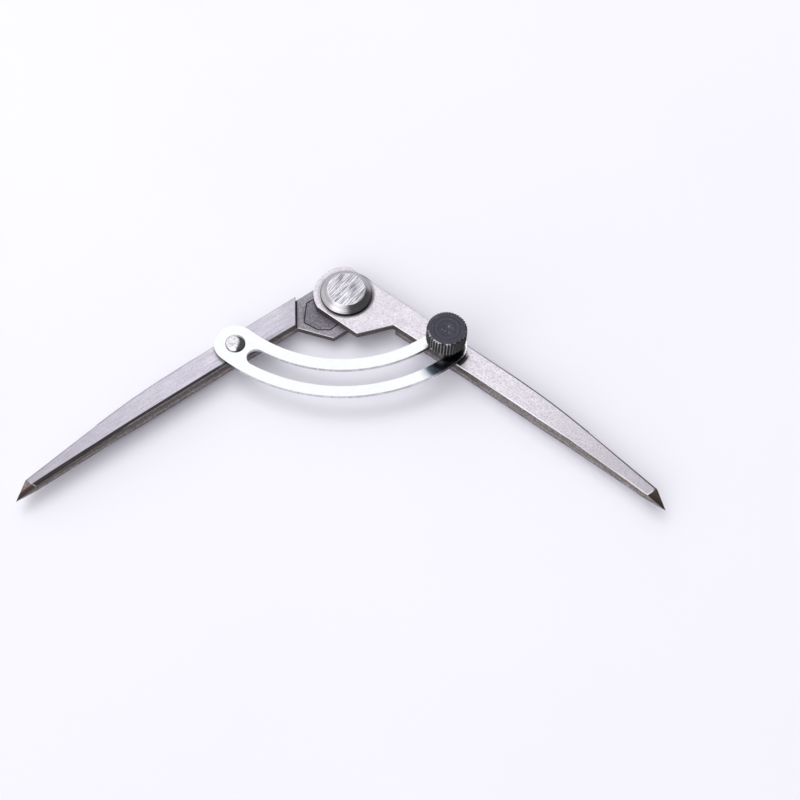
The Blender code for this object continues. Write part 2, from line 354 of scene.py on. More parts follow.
def rounded(profile, radii):
    """A profile with each corner that has a radius rounded off. The ends stay."""
    points = [profile[0]]
    for index in range(1, len(profile) - 1):
        radius = radii.get(index, 0)
        if radius:
            points += fillet(profile[index - 1], profile[index], profile[index + 1], radius)
        else:
            points.append(profile[index])
    points.append(profile[-1])
    return points


def make_object(name, bm):
    bmesh.ops.recalc_face_normals(bm, faces=bm.faces)
    mesh = bpy.data.meshes.new(name)
    bm.to_mesh(mesh)
    bm.free()
    item = bpy.data.objects.new(name, mesh)
    bpy.context.scene.collection.objects.link(item)
    return item


def take_away(item, bm):
    """Cuts a bmesh out of an object and keeps the result as its mesh."""
    cutter = make_object("cutter", bm)
    boolean = item.modifiers.new("cut", "BOOLEAN")
    boolean.operation = "DIFFERENCE"
    boolean.solver = "EXACT"
    boolean.object = cutter
    graph = bpy.context.evaluated_depsgraph_get()
    mesh = bpy.data.meshes.new_from_object(item.evaluated_get(graph))
    item.modifiers.clear()
    item.data = mesh
    bpy.data.objects.remove(cutter, do_unlink=True)


def cylinder(centre, radius, low, high, segments=BORE_SEGMENTS):
    bm = turned([(radius, low), (radius, high)], segments)
    bmesh.ops.translate(bm, vec=(*centre, 0), verts=bm.verts)
    return bm


def round_edges(item, width, sharp_near=None):
    """Rounds the edges that turn by more than ROUNDED_ANGLE, except round a leg's sharp point."""
    bm = bmesh.new()
    bm.from_mesh(item.data)
    bmesh.ops.remove_doubles(bm, verts=bm.verts, dist=WELD)
    bmesh.ops.dissolve_limit(
        bm, angle_limit=FLAT_ANGLE, verts=bm.verts, edges=bm.edges, delimit={"NORMAL"}
    )
    edges = []
    for edge in bm.edges:
        if not edge.is_manifold or edge.calc_face_angle() < ROUNDED_ANGLE:
            continue
        if sharp_near and min((vert.co - sharp_near).length for vert in edge.verts) < POINT_STAYS_SHARP:
            continue
        edges.append(edge)
    bmesh.ops.bevel(
        bm,
        geom=edges,
        offset=width,
        offset_type="OFFSET",
        segments=3,
        profile=0.5,
        affect="EDGES",
        clamp_overlap=True,
    )
    bm.to_mesh(item.data)
    bm.free()


def finish_piece(item, matrix, body, nodes, material):
    """Smooth shading, the piece's place, its body, the CAD nodes that it stands for and its finish."""
    item.data.shade_smooth()
    item.data.set_sharp_from_angle(angle=SHARP_ANGLE)
    weighted = item.modifiers.new("even shading", "WEIGHTED_NORMAL")
    weighted.keep_sharp = True
    weighted.weight = LARGE_FACES_COUNT
    item.data.transform(matrix)
    item.data.materials.clear()
    item.data.materials.append(material)
    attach(item, body)
    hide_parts(*nodes)


# ---------------------------------------------------------------- materials


class Recipe:
    """A node material under construction, which reads the coordinates of a place in the part."""

    def __init__(self, name, place=None):
        self.material = bpy.data.materials.new(name)
        self.material.use_nodes = True
        self.tree = self.material.node_tree
        self.shader = self.tree.nodes["Principled BSDF"]
        source = self.tree.nodes.new("ShaderNodeTexCoord")
        local = self.tree.nodes.new("ShaderNodeMapping")
        local.vector_type = "TEXTURE"
        if place:
            local.inputs["Location"].default_value = place.to_translation()
            local.inputs["Rotation"].default_value = place.to_euler("XYZ")
        self.link(source.outputs["Object"], local.inputs["Vector"])
        self.own = local.outputs[0]
        self.x, self.y, self.z = self.axes(self.own)
        self.rising = self.axes(source.outputs["Normal"])[2]
        self.upright = self.math("ABSOLUTE", self.rising)

    def link(self, value, socket):
        if isinstance(value, (int, float)):
            socket.default_value = value
        elif isinstance(value, tuple):
            socket.default_value = (*value, 1.0) if len(value) == 3 and socket.type == "RGBA" else value
        else:
            self.tree.links.new(value, socket)

    def math(self, operation, first, second=0.0, third=0.0, clamp=False):
        node = self.tree.nodes.new("ShaderNodeMath")
        node.operation = operation
        node.use_clamp = clamp
        for socket, value in zip(node.inputs, (first, second, third)):
            self.link(value, socket)
        return node.outputs[0]

    def product(self, first, *others):
        for other in others:
            first = self.math("MULTIPLY", first, other)
        return first

    def without(self, mask):
        """The mask turned inside out."""
        return self.math("SUBTRACT", 1.0, mask)

    def step(self, value, low, high, to_low=0.0, to_high=1.0):
        """A smooth step of a value between two bounds."""
        node = self.tree.nodes.new("ShaderNodeMapRange")
        node.interpolation_type = "SMOOTHSTEP"
        for socket, given in zip(node.inputs, (value, low, high, to_low, to_high)):
            self.link(given, socket)
        return node.outputs[0]

    def distance(self, centre=(0.0, 0.0)):
        """How far a point is in plan from a centre."""
        across = self.math("SUBTRACT", self.x, centre[0])
        along = self.math("SUBTRACT", self.y, centre[1])
        squares = self.math("MULTIPLY_ADD", across, across, self.math("MULTIPLY", along, along))
        return self.math("SQRT", squares)

    def axes(self, vector):
        node = self.tree.nodes.new("ShaderNodeSeparateXYZ")
        self.link(vector, node.inputs[0])
        return node.outputs

    def vector(self, x, y, z):
        node = self.tree.nodes.new("ShaderNodeCombineXYZ")
        for socket, value in zip(node.inputs, (x, y, z)):
            self.link(value, socket)
        return node.outputs[0]

    def noise(self, vector, detail=3.0, rough=0.5, distortion=0.0):
        node = self.tree.nodes.new("ShaderNodeTexNoise")
        self.link(vector, node.inputs["Vector"])
        node.inputs["Scale"].default_value = 1.0
        node.inputs["Detail"].default_value = detail
        node.inputs["Roughness"].default_value = rough
        node.inputs["Distortion"].default_value = distortion
        return node.outputs["Fac"]

    def marks(self, per_metre, turn=0.0, **look):
        """Noise in the piece's own coordinates, turned about Z, this fine along each axis."""
        turned_first = self.tree.nodes.new("ShaderNodeMapping")
        turned_first.inputs["Rotation"].default_value = (0, 0, turn)
        self.link(self.own, turned_first.inputs["Vector"])
        scaled = self.tree.nodes.new("ShaderNodeMapping")
        scaled.inputs["Scale"].default_value = per_metre
        self.link(turned_first.outputs[0], scaled.inputs["Vector"])
        return self.noise(scaled.outputs[0], **look)

    def specks(self, per_metre, **look):
        """Noise that is equally fine in every direction."""
        return self.marks((per_metre, per_metre, per_metre), **look)

    def mix(self, share, first, second):
        """A blend of two colours."""
        node = self.tree.nodes.new("ShaderNodeMix")
        node.data_type = "RGBA"
        self.link(share, node.inputs["Factor"])
        self.link(first, node.inputs["A"])
        self.link(second, node.inputs["B"])
        return next(socket for socket in node.outputs if socket.type == "RGBA")

    def mottled(self, field, colours, low=0.35, high=0.65):
        """Two colours, blended by a noise field between two of its values."""
        return self.mix(self.step(field, low, high), *colours)

    def blend(self, share, first, second):
        """A blend of two numbers."""
        node = self.tree.nodes.new("ShaderNodeMix")
        node.data_type = "FLOAT"
        for socket, value in zip((node.inputs[0], node.inputs[2], node.inputs[3]), (share, first, second)):
            self.link(value, socket)
        return node.outputs[0]

    def bump(self, height, distance, strength):
        node = self.tree.nodes.new("ShaderNodeBump")
        node.inputs["Distance"].default_value = distance
        node.inputs["Strength"].default_value = strength
        self.link(height, node.inputs["Height"])
        return node.outputs[0]

    def finish(self, **sockets):
        for name, value in sockets.items():
            self.link(value, self.shader.inputs[name.replace("_", " ")])
        return self.material


class LegLook(NamedTuple):
    """What differs between the surfaces of the two legs, painted light included: the left leg's darker
    tint and dark inner margin are painted shade and reflection.
    """

    tint: tuple
    brushed: float
    grained: float
    upside_down: bool
    # outer_line: strength of the painted dark line along the outer edge, which also sets the walls' paling
    # and the point facet's outline
    outer_line: float
    margin: float
    margin_tint: tuple
    point_tint: tuple
    shaded_round: tuple = None


def darker(colour, share):
    return tuple(share * part for part in colour)


class LegRecipe(Recipe):
    """Ground faces, scaled forging walls, a matte lap, and edges pale with wear on the inner side and
    painted dark with shade on the outer, along the leg's axes.
    """

    def __init__(self, name, place, look):
        super().__init__(name, place)
        self.look = look
        self.up = self.math("MULTIPLY", self.z, -1.0 if look.upside_down else 1.0)
        self.radius = self.distance()
        self.ground = self.step(self.upright, *GROUND_FACING)
        self.wall = self.step(self.upright, *WALL_FACING)
        self.edge = self.without(self.math("MAXIMUM", self.ground, self.wall))
        level = self.math("ABSOLUTE", self.z)
        self.lap = self.product(self.ground, self.step(level, *LAP_DEPTH))
        self.past_hinge = self.ramp(NOTCH_ROOT[0], BOW_FROM)
        across_point = self.math("MULTIPLY_ADD", self.y, POINT_FACET_LEAD / (LEG_WIDTH / 2), self.x)
        self.past_facet = self.math("SUBTRACT", across_point, POINT_FROM - POINT_FACET_LEAD)
        self.streaks = self.marks((120, 5200, 5200), detail=4.0, rough=0.62)
        self.grain = self.specks(2300, detail=5.0, rough=0.75)
        self.cloud = self.specks(170, rough=0.55)
        self.pitting = self.specks(1900, detail=4.0, rough=0.7)
        brushed = self.product(self.grain, look.grained)
        brushed = self.math("MULTIPLY_ADD", self.streaks, look.brushed, brushed)
        self.grinding = self.math("DIVIDE", brushed, look.brushed + look.grained)

    def ramp(self, start, end):
        """0 to 1 along the leg, between two distances from the hinge."""
        return self.math("DIVIDE", self.math("SUBTRACT", self.x, start), end - start, clamp=True)

    def from_outer_edge(self):
        blend = TAPER_FULL - TAPER_FROM
        bend = self.ramp(TAPER_FROM, TAPER_FULL)
        bend = self.product(bend, bend, TAPER_SLOPE * blend / 2)
        run = self.math("MAXIMUM", self.math("SUBTRACT", self.x, TAPER_FULL), 0.0)
        outer = self.math("MULTIPLY_ADD", run, TAPER_SLOPE, self.math("SUBTRACT", bend, LEG_WIDTH))
        return self.math("SUBTRACT", self.y, outer)

    def from_inner_edge(self):
        before_point = self.ramp(LEG_LENGTH, BOW_TO)
        bow = self.product(self.math("MINIMUM", self.past_hinge, before_point), -BOW_DEPTH)
        return self.math("SUBTRACT", bow, self.y)

    def ground_face(self):
        """Ground steel, duller towards the point, with painted shade round the hinge cap and, on one leg,
        a painted shadow under the wing's end, lined at its edges.
        """
        tint = self.look.tint
        bright = tuple(min(1.12 * part, 0.98) for part in tint)
        dull = darker(tint, 0.70)
        face = self.mottled(self.grinding, (dull, bright), 0.36, 0.60)
        face = self.mix(self.product(self.step(self.cloud, 0.35, 0.7), 0.14), face, dull)
        towards_point = self.step(self.x, *DULL_TO_POINT)
        face = self.mix(self.product(towards_point, 0.62), face, darker(tint, 0.48))
        blotch = self.step(self.cloud, 0.25, 0.7, 0.08, 0.34)
        blotch = self.product(self.step(self.x, *BLOTCHED_TO_HINGE), blotch)
        face = self.mix(blotch, face, darker(tint, 0.62))
        # painted shade round the hinge cap
        face = self.mix(self.cap_shade_ring(), face, (0.12, 0.10, 0.10))
        if self.look.shaded_round:
            # painted shadow under the round end of the wing
            face = self.mix(self.shaded_crescent(), face, (0.02, 0.018, 0.018))
        # A dark line along the outer edge: painted shade.
        outer_line = self.step(self.from_outer_edge(), *OUTER_LINE)
        lengthwise = self.step(self.x, *OUTER_LINE_ALONG, 0.12, 1.0)
        outer_line = self.product(outer_line, self.look.outer_line, lengthwise)
        face = self.mix(outer_line, face, (0.085, 0.078, 0.085))
        return self.mix(self.inner_line(), face, self.margin_steel())

    def cap_shade_ring(self):
        """Painted shade round the hinge cap, strongest on the side towards the point."""
        below = self.math("MULTIPLY_ADD", self.x, 0.92, self.product(self.y, 0.39))
        below = self.step(self.math("DIVIDE", below, self.radius), -0.3, 0.8, 0.35, 0.95)
        return self.product(self.step(self.radius, *CAP_SHADE_RING), below)

    def shaded_crescent(self):
        """A painted shadow on the upper face, under the round end of the wing."""
        inside = self.step(self.distance(self.look.shaded_round), *CRESCENT)
        inner_side = self.step(self.y, *CRESCENT_ACROSS, 0.0, 0.95)
        return self.product(inside, inner_side, self.step(self.up, *CRESCENT_LEVEL))

    def inner_line(self):
        """A margin along the inner edge, a little wider near the point: a painted dark reflection on the
        left leg, a pale line on the right.
        """
        margin = self.look.margin
        widening = self.step(self.x, *MARGIN_WIDENS, 0.0, -0.3 * margin)
        away = self.math("ADD", self.from_inner_edge(), widening)
        line = self.step(away, margin + MARGIN_FADE, margin - MARGIN_FADE)
        return self.product(line, self.past_hinge)

    def margin_steel(self):
        tint = self.look.margin_tint
        return self.mottled(self.streaks, (darker(tint, 0.6), tint), 0.4, 0.6)

    def forged_walls(self):
        """Scale, paler low down and far from the hinge, pitted, and dark at the foot."""
        along_wall = self.marks((160, 160, 4200), detail=4.0, rough=0.65)
        dark_scale = self.mottled(self.grain, ((0.070, 0.059, 0.056), (0.215, 0.184, 0.175)))
        pale_scale = self.mottled(along_wall, ((0.17, 0.148, 0.142), (0.57, 0.52, 0.505)))
        low_side = self.step(self.up, *WALL_LOW)
        low_side = self.product(low_side, self.step(self.x, *WALL_LOW_ALONG))
        paling = self.product(self.step(self.x, *WALL_PALES), 0.85 * self.look.outer_line)
        scale = self.mix(self.math("MAXIMUM", low_side, paling), dark_scale, pale_scale)
        pits = self.step(self.pitting, 0.60, 0.40, 0.0, 0.6)
        scale = self.mix(pits, scale, (0.05, 0.043, 0.042))
        foot = self.product(self.step(self.up, *WALL_FOOT), 0.7)
        return self.mix(foot, scale, (0.05, 0.042, 0.04))

    def lap_face(self):
        """Matte steel, darker inside the pressed line."""
        outside = self.mottled(self.pitting, ((0.25, 0.235, 0.26), (0.45, 0.42, 0.46)))
        inside = self.mottled(self.pitting, ((0.145, 0.135, 0.155), (0.295, 0.28, 0.315)))
        field = self.step(self.distance(FIELD_CENTRE), *FIELD)
        return self.mix(field, outside, inside)

    def shoulder_shade(self):
        """Painted shade in the corner where the lap meets the shoulder."""
        shoulder = self.math("MULTIPLY_ADD", self.y, SHOULDER_SLOPE, SHOULDER_FOOT)
        to_shoulder = self.math("SUBTRACT", shoulder, self.x)
        return self.product(self.lap, self.step(to_shoulder, *SHOULDER_SHADE))

    def pressed_line(self):
        """The floor of the imprint, told from the lap by its depth, painted dark as shade in the groove.
        """
        depth = self.product(self.step(self.z, *IMPRINT_TOP), self.step(self.z, *IMPRINT_FLOOR))
        near_hinge = self.step(self.radius, *IMPRINT_REACH)
        off_ear = self.step(self.y, *IMPRINT_ACROSS)
        return self.product(depth, near_hinge, off_ear, self.ground)

    def point_steel(self):
        tint = self.look.point_tint
        steel = self.mottled(self.streaks, (darker(tint, 0.45), tint))
        return self.mix(self.step(self.y, *POINT_DARKENS), steel, (0.055, 0.04, 0.036))

    def facet_outline(self):
        """A fine line along the upper end of the point's facet."""
        start = self.step(self.past_facet, *FACET_LINE_FROM)
        end = self.step(self.past_facet, *FACET_LINE_TO)
        return self.product(start, end, self.without(self.wall), self.look.outer_line)

    def build(self):
        colour = self.mix(self.wall, self.ground_face(), self.forged_walls())
        # Rounded edges: pale with wear on the inner side, painted dark with shade on the outer side.
        outer_side = self.step(self.y, *EDGE_DARKENS)
        wear_and_painted_light = self.mix(outer_side, (0.90, 0.87, 0.88), (0.16, 0.15, 0.16))
        colour = self.mix(self.product(self.edge, 0.8), colour, wear_and_painted_light)
        colour = self.mix(self.lap, colour, self.lap_face())
        # painted shade in the shoulder's corner and on the imprint's floor
        colour = self.mix(self.shoulder_shade(), colour, (0.035, 0.032, 0.035))
        colour = self.mix(self.pressed_line(), colour, (0.03, 0.028, 0.03))
        facet = self.product(self.step(self.past_facet, *FACET), self.without(self.wall))
        colour = self.mix(facet, colour, self.point_steel())
        inner_end = self.step(self.y, *FACET_LINE_PALES)
        outline = self.mix(inner_end, (0.10, 0.085, 0.085), (0.84, 0.81, 0.82))
        colour = self.mix(self.facet_outline(), colour, outline)

        rough = self.blend(self.wall, self.step(self.grinding, 0.2, 0.8, 0.42, 0.30), 0.55)
        rough = self.blend(self.lap, rough, 0.5)
        rough = self.blend(self.edge, rough, 0.24)
        long_streaks = self.marks((45, 1700, 1700), detail=2.0)
        lay = self.marks((900, 9000, 900), turn=math.radians(8), detail=2.0)
        height = self.math("MULTIPLY_ADD", long_streaks, 0.5 * self.look.brushed, self.grinding)
        height = self.math("MULTIPLY_ADD", lay, 0.12, height)
        normal = self.bump(height, 0.008 * MM, 0.7)
        return self.finish(Base_Color=colour, Roughness=rough, Metallic=0.86, Normal=normal)


def hinge_steel(name):
    """A ground flat with coarse one-way scratches, turned, polished sides, a painted highlight along the
    rim and painted shade round the foot.
    """
    made = Recipe(name)
    facing = made.upright
    flat = made.step(facing, 0.95, 0.99)
    radius = made.distance()
    fine = made.marks((170, 3900, 400), turn=math.radians(-54), detail=4.0, rough=0.7)
    coarse = made.marks((130, 3300, 400), turn=math.radians(-51), rough=0.65, distortion=0.12)
    cross = made.marks((260, 3100, 400), turn=math.radians(-20), detail=2.0, rough=0.6)
    scratches = made.math("MULTIPLY_ADD", coarse, 0.40, made.product(fine, 0.50))
    scratches = made.math("MULTIPLY_ADD", cross, 0.10, scratches)
    shade = made.mottled(scratches, ((0.38, 0.37, 0.41), (0.63, 0.61, 0.66)), 0.40, 0.54)
    shade = made.mix(made.step(fine, 0.47, 0.42, 0.0, 0.95), shade, (0.10, 0.095, 0.12))
    shade = made.mix(made.step(coarse, 0.53, 0.58, 0.0, 0.95), shade, (0.95, 0.93, 0.97))

    turning = made.vector(made.product(radius, 9000), 0.0, made.product(made.z, 5200))
    rings = made.noise(turning)
    side = made.mottled(rings, ((0.30, 0.29, 0.31), (0.54, 0.52, 0.525)))
    # A painted highlight along the rim between flat and bevel; it is less metallic there so the lamp
    # lights it.
    rim = made.product(made.step(facing, 0.78, 0.86), made.step(facing, 0.995, 0.97))
    side = made.mix(made.product(rim, 0.9), side, (0.95, 0.93, 0.94))
    # Painted shade round the foot of the cap, where it meets the leg.
    foot = made.step(radius, *CAP_FOOT_SHADE)
    side = made.mix(foot, side, (0.035, 0.03, 0.03))

    colour = made.mix(flat, side, shade)
    side_rough = made.step(rings, 0.3, 0.7, 0.16, 0.24)
    rough = made.blend(flat, side_rough, made.step(scratches, 0.35, 0.65, 0.42, 0.28))
    height = made.blend(flat, made.product(rings, 0.25), scratches)
    normal = made.bump(height, 0.02 * MM, 0.55)
    metal = made.blend(rim, 0.95, 0.2)
    return made.finish(Base_Color=colour, Roughness=rough, Metallic=metal, Normal=normal)


def bright_plate(name, place, knob_shade_near, blue_reflection_near):
    """Bright plating over rolled strip, with painted shade and a dark reflection near one place, a painted
    blue reflection near another, and painted shade on the walls at both ends.
    """
    made = Recipe(name, place)
    away = made.distance(knob_shade_near)
    # Painted shade and the knob's dark reflection, round the screw
    knob_shade = made.step(away, *KNOB_SHADE)
    # A painted blue reflection of the knob, beside the screw
    blue_reflection = made.step(made.distance(blue_reflection_near), *BLUE_REFLECTION, 0.0, 0.85)
    facing = made.upright
    side = made.step(facing, 0.6, 0.2)
    rolled = made.marks((110, 4200, 600), turn=math.radians(20), detail=4.0, rough=0.6)
    spots = made.specks(900, detail=4.0, rough=0.6)
    cloud = made.specks(120, detail=2.0)

    plate = made.mottled(spots, ((0.87, 0.88, 0.875), (0.84, 0.855, 0.855)), 0.35, 0.7)
    plate = made.mix(blue_reflection, plate, (0.16, 0.24, 0.36))
    knob_shade_colour = made.mottled(spots, ((0.03, 0.037, 0.04), (0.10, 0.112, 0.115)), 0.4, 0.65)
    plate = made.mix(knob_shade, plate, knob_shade_colour)
    rounded_off = made.product(made.step(facing, 0.99, 0.90), made.without(side))
    plate = made.mix(made.product(rounded_off, 0.6), plate, (0.42, 0.42, 0.44))

    sheared = made.mottled(rolled, ((0.52, 0.52, 0.54), (0.78, 0.78, 0.81)))
    # Painted shade on the sheared walls, near the screw and at the rivet's end
    screw_end_shade = made.step(away, *SCREW_END_SHADE)
    slot_end = made.step(made.x, *RIVET_END_SHADE, 0.0, 0.85)
    sheared = made.mix(made.math("MAXIMUM", screw_end_shade, slot_end), sheared, (0.03, 0.032, 0.036))

    colour = made.mix(side, plate, sheared)
    rough = made.blend(side, made.step(cloud, 0.3, 0.7, 0.14, 0.22), 0.38)
    height = made.math("MULTIPLY_ADD", rolled, 0.5, made.product(spots, 0.5))
    normal = made.bump(height, 0.004 * MM, 0.5)
    return made.finish(Base_Color=colour, Roughness=rough, Metallic=1.0, Normal=normal)


def polished_head(name, place):
    """A rivet's bright head: small pits and stains, and a painted line of shade round its foot."""
    made = Recipe(name, place)
    pits = made.specks(1500, detail=4.0, rough=0.65)
    cloud = made.specks(620, detail=2.0)
    colour = made.mottled(pits, ((0.56, 0.56, 0.59), (0.84, 0.84, 0.85)), 0.36, 0.60)
    colour = made.mix(made.step(cloud, 0.45, 0.75, 0.0, 0.4), colour, (0.50, 0.49, 0.51))
    # Painted shade round the foot of the head, where it meets the wing.
    foot = made.step(made.distance(), *DOME_FOOT_SHADE)
    colour = made.mix(made.product(foot, 0.8), colour, (0.10, 0.10, 0.11))
    rough = made.step(cloud, 0.3, 0.7, 0.08, 0.16)
    normal = made.bump(pits, 0.010 * MM, 0.5)
    return made.finish(Base_Color=colour, Roughness=rough, Metallic=1.0, Normal=normal)


def black_oxide(name, place):
    """Blackened steel: turned rings on the flat top, steel showing through on the rim where fingers rub,
    and painted highlights on the knurl's crests and the collar on the lit side.
    """
    made = Recipe(name, place)
    facing = made.rising
    top = made.step(facing, 0.9, 0.985)
    radius = made.distance()
    rings = made.noise(made.vector(made.product(radius, 2600), 0.0, 0.0), detail=4.0, rough=0.7)
    grain = made.specks(2600, rough=0.6)
    dust = made.specks(2100, detail=2.0)
    rub = made.specks(420, rough=0.6)

    # The lit side, to the front and a little left: painted highlights go on the knurl's crests and the
    # collar there.
    lit_side = made.math("MULTIPLY_ADD", made.x, -0.34, made.product(made.y, -0.94))
    lit_side = made.math("DIVIDE", lit_side, radius)
    crest = made.step(radius, *KNURL_CREST)
    crest = made.product(crest, made.step(lit_side, 0.70, 0.98, 0.03, 0.9))
    crest = made.product(crest, made.step(rub, 0.22, 0.45))
    rim = made.product(made.step(facing, 0.35, 0.7), made.step(facing, 0.985, 0.93))
    rim = made.product(rim, made.step(rub, 0.44, 0.58))
    # Painted highlights on the crests, and the rubbed rim
    wear_and_painted_light = made.math("MAXIMUM", crest, rim)

    turned_top = made.mottled(rings, ((0.018, 0.019, 0.029), (0.076, 0.076, 0.102)), 0.34, 0.64)
    dusty = made.step(radius, *KNOB_DUST, 0.18, 0.9)
    dusty = made.product(made.step(dust, 0.63, 0.70), dusty)
    turned_top = made.mix(dusty, turned_top, (0.32, 0.31, 0.31))
    side = made.mottled(grain, ((0.008, 0.008, 0.009), (0.030, 0.029, 0.030)), 0.3, 0.7)
    # A painted highlight on the collar, on the lit side
    collar = made.product(made.step(radius, *COLLAR), made.step(lit_side, 0.955, 0.998))
    side = made.mix(collar, side, (0.17, 0.145, 0.125))

    colour = made.mix(wear_and_painted_light, made.mix(top, side, turned_top), (0.43, 0.415, 0.395))
    metal = made.math("MULTIPLY_ADD", wear_and_painted_light, 0.6, 0.35)
    made.shader.inputs["Specular IOR Level"].default_value = 0.3
    rough = made.blend(wear_and_painted_light, made.step(grain, 0.3, 0.7, 0.36, 0.48), 0.28)
    height = made.math("MULTIPLY_ADD", rings, 0.7, made.product(grain, 0.3))
    normal = made.bump(height, 0.012 * MM, 0.5)
    return made.finish(Base_Color=colour, Roughness=rough, Metallic=metal, Normal=normal)


# ---------------------------------------------------------------- pieces


def outer_edge(along):
    """Where the outer side of a leg is: straight, then bending smoothly into an even taper."""
    if along <= TAPER_FROM:
        return -LEG_WIDTH
    blend = TAPER_FULL - TAPER_FROM
    if along >= TAPER_FULL:
        return -LEG_WIDTH + TAPER_SLOPE * (blend / 2 + along - TAPER_FULL)
    return -LEG_WIDTH + TAPER_SLOPE * (along - TAPER_FROM) ** 2 / (2 * blend)


def leg_outline():
    """The whole leg seen from above, round the eye and out to the point."""
    ear_angle = math.asin(EAR_WIDTH / EYE_RADIUS)
    back_angle = math.asin(LEG_WIDTH / EYE_RADIUS)
    eye = arc((0, 0), EYE_RADIUS, math.pi - ear_angle, math.pi + back_angle, EYE_STEPS)
    taper = []
    for step in range(TAPER_STEPS + 1):
        along = TAPER_FROM + (TAPER_FULL - TAPER_FROM) * step / TAPER_STEPS
        taper.append((along, outer_edge(along)))
    point = [(POINT_FROM, outer_edge(POINT_FROM)), (LEG_LENGTH, -TIP_CLEARANCE)]
    bow = [(BOW_TO, -BOW_DEPTH), (BOW_FROM, -BOW_DEPTH)]
    return [NOTCH_ROOT, NOTCH_CORNER] + eye + taper + point + bow


def slice_off(bm, point, normal):
    """Cuts away what is beyond a plane, and closes the cut."""
    geometry = bm.verts[:] + bm.edges[:] + bm.faces[:]
    facing = normal.normalized()
    done = bmesh.ops.bisect_plane(
        bm, geom=geometry, dist=ON_PLANE, plane_co=point, plane_no=facing, clear_outer=True
    )
    rim = [part for part in done["geom_cut"] if isinstance(part, bmesh.types.BMEdge)]
    if rim:
        bmesh.ops.contextual_create(bm, geom=rim)


def thin_towards_point(bm, side):
    """Tapers the thickness on one side (1 above, -1 below), then grinds that side's point facet."""
    full = side * LEG_THICKNESS / 2
    thin = side * POINT_THICKNESS / 2
    run = Vector((POINT_FROM - THINNING_FROM, 0, thin - full))
    slice_off(bm, (THINNING_FROM, 0, full), run.cross(Vector((0, side, 0))))
    inner = Vector((POINT_FROM - POINT_FACET_LEAD, 0, thin))
    outer = Vector((POINT_FROM, -LEG_WIDTH / 2, thin))
    tip = Vector((LEG_LENGTH, -TIP_CLEARANCE, 0))
    slice_off(bm, tip, side * (inner - tip).cross(outer - tip))


def lap_cutter():
    """Everything on the hinge's side of the shoulder in the upper half of a leg."""
    reach = 3 * EYE_RADIUS
    outline = [
        (-reach, -reach),
        (SHOULDER_FOOT - SHOULDER_SLOPE * reach, -reach),
        (SHOULDER_FOOT + SHOULDER_SLOPE * reach, reach),
        (-reach, reach),
    ]
    return prism(outline, LAP_LEVEL, LEG_THICKNESS)


def imprint_cutter():
    """The fine line pressed round the lap, as a closed ring of square section."""
    path = [(x * MM, y * MM) for x, y in IMPRINT_MM]
    outside = inset(path, -IMPRINT_WIDTH / 2)
    inside = inset(path, IMPRINT_WIDTH / 2)
    low, high = LAP_LEVEL - IMPRINT_DEPTH, LAP_LEVEL + IMPRINT_DEPTH
    bm = bmesh.new()
    rings = [(outside, low), (outside, high), (inside, high), (inside, low)]
    rings = [[bm.verts.new((x, y, level)) for x, y in outline] for outline, level in rings]
    for index, ring in enumerate(rings):
        other = rings[(index + 1) % len(rings)]
        for step in range(len(ring)):
            after = (step + 1) % len(ring)
            bm.faces.new((ring[step], ring[after], other[after], other[step]))
    return bm


def make_leg(name, holes, countersunk):
    """A forged leg with drafted sides, half-lapped, bored, its edges rounded and its lap imprinted."""
    outline = leg_outline()
    slim = inset(outline, DRAFT)
    half = LEG_THICKNESS / 2
    bm = lofted([(slim, -half), (outline, 0), (slim, half)])
    for side in (1, -1):
        thin_towards_point(bm, side)
    leg = make_object(name, bm)
    take_away(leg, lap_cutter())
    bore = cylinder((0, 0), LEG_HOLE_RADIUS, -LEG_THICKNESS, LEG_THICKNESS, DOME_SEGMENTS)
    take_away(leg, bore)
    for place, radius in holes:
        take_away(leg, cylinder(place, radius, -LEG_THICKNESS, LEG_THICKNESS))
    if countersunk:
        profile = [
            (COUNTERSINK_RADIUS + COUNTERSINK_DEPTH, -half - COUNTERSINK_DEPTH),
            (COUNTERSINK_RADIUS, -half),
            (RIVET_HOLE_RADIUS, -half + COUNTERSINK_DEPTH),
        ]
        sink = turned(profile, BORE_SEGMENTS)
        bmesh.ops.translate(sink, vec=(*WING_RIVET, 0), verts=sink.verts)
        take_away(leg, sink)
    round_edges(leg, EDGE_ROUND, Vector((LEG_LENGTH, -TIP_CLEARANCE, 0)))
    take_away(leg, imprint_cutter())
    return leg


def in_plan(place, turn, mirrored=False):
    """World XY of a point given along and across a leg."""
    across = -place[1] if mirrored else place[1]
    return Vector(
        (
            place[0] * math.cos(turn) - across * math.sin(turn),
            place[0] * math.sin(turn) + across * math.cos(turn),
        )
    )


def band(centre, radius, half_width, start, end):
    """Outline of a band bent along an arc, with round ends."""
    first = (centre[0] + radius * math.cos(start), centre[1] + radius * math.sin(start))
    last = (centre[0] + radius * math.cos(end), centre[1] + radius * math.sin(end))
    outline = arc(centre, radius + half_width, start, end, WING_STEPS)
    outline += arc(last, half_width, end, end + math.pi, WING_END_STEPS)[1:-1]
    outline += arc(centre, radius - half_width, end, start, WING_STEPS)
    outline += arc(first, half_width, start + math.pi, start + 2 * math.pi, WING_END_STEPS)[1:-1]
    return outline


